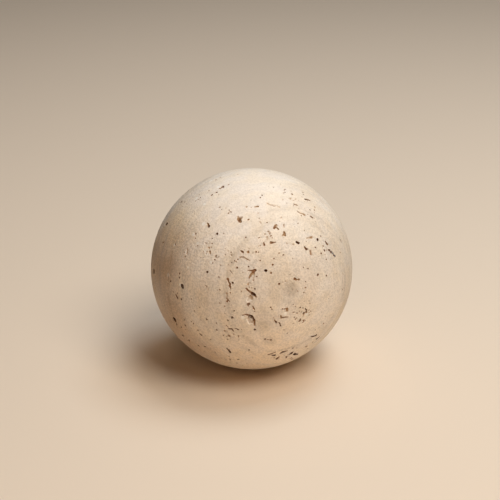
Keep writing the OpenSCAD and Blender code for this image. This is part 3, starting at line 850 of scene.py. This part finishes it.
creamBeds = ramp(tree, broadBeds, *stoneLook["creamPart"])
colour = mixColour(tree, creamBeds, stoneLook["warm"], stoneLook["cream"])
greyClouds = ramp(tree, clouds, *stoneLook["greyPart"])
colour = mixColour(tree, greyClouds, colour, stoneLook["grey"])
# patches of colour, partly painted light and shade
for reach, bearing, radius, edge, strength, name in stoneLook["patchesAndPaintedShading"]:
    colour = paint(colour, spotAt(bedded, reach, bearing, radius, edge), strength, name)
heightAlongPole = addNode(tree, "ShaderNodeSeparateXYZ", {0: bedded}).outputs[2]
pastFace, fullNear = stoneLook["bedFade"]
for low, high, strength, name, reach, bearing, run in stoneLook["beds"]:
    middle = (low + high) / 2
    away = sums(tree, "ABSOLUTE", sums(tree, "SUBTRACT", heightAlongPole, middle), 0.0)
    bed = ramp(tree, away, high - middle + pastFace, fullNear, 0.0, strength)
    bed = sums(tree, "MULTIPLY", bed, ramp(tree, clouds, *stoneLook["bedGaps"]))
    bed = sums(tree, "MULTIPLY", bed, spotAt(bedded, reach, bearing, run, run * stoneLook["bedEnd"]))
    colour = mixColour(tree, bed, colour, stoneLook[name])

# light and dark within a bed, plainest round the top of the ball
smoothTop = spotAt(inMm, *stoneLook["smoothTop"])
coarseLeft = spotAt(inMm, *stoneLook["coarseLeft"])
coarse = ramp(tree, smoothTop, 0.0, 1.0, stoneLook["coarse"], stoneLook["coarseTop"])
coarse = sums(tree, "ADD", coarse, ramp(tree, coarseLeft, 0.0, 1.0, 0.0, stoneLook["coarseAdded"]))
bedTone = sums(tree, "MULTIPLY", swing(fineBeds, *stoneLook["bedTone"]), coarse)
tone = sums(tree, "ADD", bedTone, swing(mottle, *stoneLook["mottleTone"]))
grainTone = sums(tree, "MULTIPLY", swing(grain, *stoneLook["grainTone"]), coarse)
tone = sums(tree, "ADD", tone, grainTone)
tone = sums(tree, "ADD", tone, 1.0)
colour = scaled(colour, tone)
cool = ramp(tree, tint, *stoneLook["coolPart"])
warmCool = mixColour(tree, cool, stoneLook["warmTint"], stoneLook["coolTint"])
colour = vectorSums("MULTIPLY", colour, warmCool)

for reach, bearing, radius in stoneLook["specks"]:
    speck = spotAt(inMm, reach, bearing, radius, stoneLook["speckEdge"])
    colour = paint(colour, speck, stoneLook["speckStrength"], "speck")
# light nicks, partly broken stone and partly painted highlights
for reach, bearing, radius in stoneLook["nicksAndHighlights"]:
    nickAndHighlight = spotAt(inMm, reach, bearing, radius, radius * stoneLook["nickAndHighlightEdge"])
    colour = paint(colour, nickAndHighlight, stoneLook["nickAndHighlightStrength"], "chalk")

# pin holes and light flecks, thicker in some clouds than in others
crowded = ramp(tree, clouds, *stoneLook["pinCrowding"])
pins = pinMask(inMm, "pins")
finePins = pinMask(bedded, "finePins")
flecks = pinMask(fleckPlace, "flecks")
allPins = sums(tree, "MAXIMUM", pins, sums(tree, "MULTIPLY", finePins, stoneLook["finePinStrength"]))
allPins = sums(tree, "MULTIPLY", allPins, crowded)
flecks = sums(tree, "MULTIPLY", flecks, crowded)
colour = paint(colour, allPins, stoneLook["pinStrength"], "pinShade")
colour = paint(colour, flecks, stoneLook["fleckStrength"], "freshAndHighlight")

# deposit inside the pores, darker with depth
distanceOut = addNode(tree, "ShaderNodeVectorMath", {0: inMm}, operation="LENGTH").outputs["Value"]
depth = sums(tree, "SUBTRACT", ballRadiusMm, distanceOut)
lessStainedFace = spotAt(inMm, *stoneLook["lessStainedFace"])
scale, detail = stoneLook["ochreNoise"]
ochreClouds = addNode(tree, "ShaderNodeTexNoise", {"Vector": inMm, "Scale": scale, "Detail": detail})
ochre = ramp(tree, ochreClouds.outputs["Fac"], *stoneLook["ochrePart"])
deposit = mixColour(tree, ochre, stoneLook["pitBrown"], stoneLook["pitOchre"])
darkFrom = ramp(tree, lessStainedFace, 0.0, 1.0, *stoneLook["darkFrom"])
darkTo = sums(tree, "ADD", darkFrom, stoneLook["darkRun"])
deposit = mixColour(tree, ramp(tree, depth, darkFrom, darkTo), deposit, stoneLook["pitDeep"])

# painted light: pore walls that lean to the side the window light comes from keep less stain and stay pale
outward = addNode(tree, "ShaderNodeVectorMath", {0: place}, operation="NORMALIZE").outputs[0]
wallNormal = addNode(tree, "ShaderNodeVectorTransform", {
    "Vector": addNode(tree, "ShaderNodeNewGeometry").outputs["Normal"],
}, vector_type="NORMAL", convert_from="WORLD", convert_to="OBJECT").outputs[0]
lean = addNode(tree, "ShaderNodeVectorMath", {
    0: vectorSums("SUBTRACT", wallNormal, outward), 1: stoneLook["paintedLightSide"],
}, operation="DOT_PRODUCT").outputs["Value"]
stainOnPaintedLitWalls = ramp(tree, lessStainedFace, 0.0, 1.0, *stoneLook["stainOnPaintedLitWalls"])
paintedLitWalls = ramp(tree, lean, *stoneLook["paintedLightLean"], 1.0, stainOnPaintedLitWalls)

# a pale lip under the rim, partly broken stone and partly a painted highlight where the wall leans to the
# light, and pale floors in the hollows
underRim = ramp(tree, depth, *stoneLook["lipTop"])
lipWithPaintedHighlight = sums(tree, "MULTIPLY", underRim, ramp(tree, depth, *stoneLook["lipBottom"]))
lipWithPaintedHighlight = sums(tree, "MULTIPLY", lipWithPaintedHighlight, ramp(tree, lean, *stoneLook["lipHighlightLean"], *stoneLook["lipHighlightStrength"]))
colour = mixColour(tree, lipWithPaintedHighlight, colour, stoneLook["freshAndHighlight"])
paleFloor = 0.0
for reach, bearing, radius in stoneLook["paleHollows"]:
    hollow = spotAt(inMm, reach, bearing, radius, stoneLook["hollowEdge"])
    paleFloor = sums(tree, "MAXIMUM", paleFloor, hollow)
paleFloor = sums(tree, "MULTIPLY", paleFloor, stoneLook["hollowPaleness"])
stainTo = ramp(tree, lessStainedFace, 0.0, 1.0, *stoneLook["stainTo"])
stained = ramp(tree, depth, stoneLook["stainFrom"], stainTo, 0.0, stoneLook["stainMost"])
# painted light: less stain on walls that face the light
stained = sums(tree, "MULTIPLY", stained, paintedLitWalls)
stained = sums(tree, "SUBTRACT", stained, paleFloor, clamp=True)
colour = mixColour(tree, stained, colour, deposit)
tree.links.new(colour, shader.inputs["Base Color"])

inPit = ramp(tree, depth, *stoneLook["pitDepth"])
relief = 0.0
for layer, height in (
    (pins, stoneLook["pinRelief"]),
    (finePins, stoneLook["finePinRelief"]),
    (flecks, stoneLook["fleckRelief"]),
    (fineBeds, stoneLook["bedRelief"]),
    (mottle, stoneLook["mottleRelief"]),
    (grain, sums(tree, "MULTIPLY", coarse, stoneLook["grainRelief"])),
    (sums(tree, "MULTIPLY", grain, inPit), stoneLook["pitGrainRelief"]),
):
    relief = sums(tree, "ADD", relief, sums(tree, "MULTIPLY", layer, height))
bump = addNode(tree, "ShaderNodeBump", {"Height": relief, "Distance": mm, "Strength": 1.0})
tree.links.new(bump.outputs[0], shader.inputs["Normal"])

roughness = sums(tree, "ADD", swing(mottle, *stoneLook["roughnessTone"]), stoneLook["roughness"])
pitRoughness = sums(tree, "MULTIPLY", inPit, stoneLook["pitRoughness"])
tree.links.new(sums(tree, "ADD", roughness, pitRoughness, clamp=True), shader.inputs["Roughness"])
shader.inputs["Specular IOR Level"].default_value = stoneLook["specular"]

travertine.data.materials.clear()
travertine.data.materials.append(stone)
print("stone material:", len(tree.nodes), "nodes")

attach(travertine, "root")
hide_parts("stone_ball")

studio = {
    "floorSize": 3,
    "floorColour": (0.80, 0.66, 0.51, 1),
    "floorRoughness": 0.8,
    "worldColour": (0.9, 0.86, 0.8, 1),
    "worldStrength": 0.01,
    "lampSize": 0.45,
    "lampDistance": 0.9,
    # degrees from the front round to the right, degrees up, power in watts, colour
    "lamps": {
        "windowLight": (40, 55, 4.85, (1, 0.95, 0.88)),
        "skyLight": (120, 70, 4.2, (0.77, 0.88, 1)),
        "backLight": (180, 70, 1.0, (1, 0.81, 0.65)),
        "frontBounce": (0, 30, 1.1, (1, 0.64, 0.42)),
    },
}

deselectAll()
bpy.ops.mesh.primitive_plane_add(size=studio["floorSize"], location=(0, 0, floorHeight))
floor = bpy.context.object
floor.name = "floor"
floorMaterial = bpy.data.materials.new("floor")
floorMaterial.use_nodes = True
floorShader = floorMaterial.node_tree.nodes["Principled BSDF"]
floorShader.inputs["Base Color"].default_value = studio["floorColour"]
floorShader.inputs["Roughness"].default_value = studio["floorRoughness"]
floor.data.materials.append(floorMaterial)

world = bpy.data.worlds.new("studio")
bpy.context.scene.world = world
world.use_nodes = True
background = world.node_tree.nodes["Background"]
background.inputs["Color"].default_value = studio["worldColour"]
background.inputs["Strength"].default_value = studio["worldStrength"]


def direction(azimuth, elevation):
    # azimuth runs from the front round to the right, both in degrees
    azimuth = math.radians(azimuth)
    elevation = math.radians(elevation)
    return Vector((
        math.cos(elevation) * math.sin(azimuth),
        -math.cos(elevation) * math.cos(azimuth),
        math.sin(elevation),
    ))


for name, (azimuth, elevation, power, lampColour) in studio["lamps"].items():
    lamp = bpy.data.lights.new(name, "AREA")
    lamp.size = studio["lampSize"]
    lamp.energy = power
    lamp.color = lampColour
    softbox = bpy.data.objects.new(name, lamp)
    bpy.context.collection.objects.link(softbox)
    toward = direction(azimuth, elevation)
    softbox.location = toward * studio["lampDistance"]
    softbox.rotation_euler = toward.to_track_quat("Z", "Y").to_euler()
print("floor and", len(studio["lamps"]), "lamps")

view = {
    "elevation": 24,           # degrees above the ball's centre
    "distance": 14.1,          # in ball radii
    "lens": 102,               # lens and sensor in mm
    "sensor": 36,
    "aimUp": 0.75,             # degrees that the camera looks above the ball's centre
    "aimLeft": 0.07,           # and to the left of it
}
cameraData = bpy.data.cameras.new("camera")
cameraData.lens = view["lens"]
cameraData.sensor_width = view["sensor"]
camera = bpy.data.objects.new("camera", cameraData)
bpy.context.collection.objects.link(camera)
camera.location = direction(0, view["elevation"]) * ballRadius * view["distance"]
camera.rotation_euler = (
    math.radians(90 - view["elevation"] + view["aimUp"]),
    0,
    math.radians(view["aimLeft"]),
)
bpy.context.scene.camera = camera
bpy.context.scene.view_settings.view_transform = "Standard"
print("camera", view["elevation"], "degrees up")
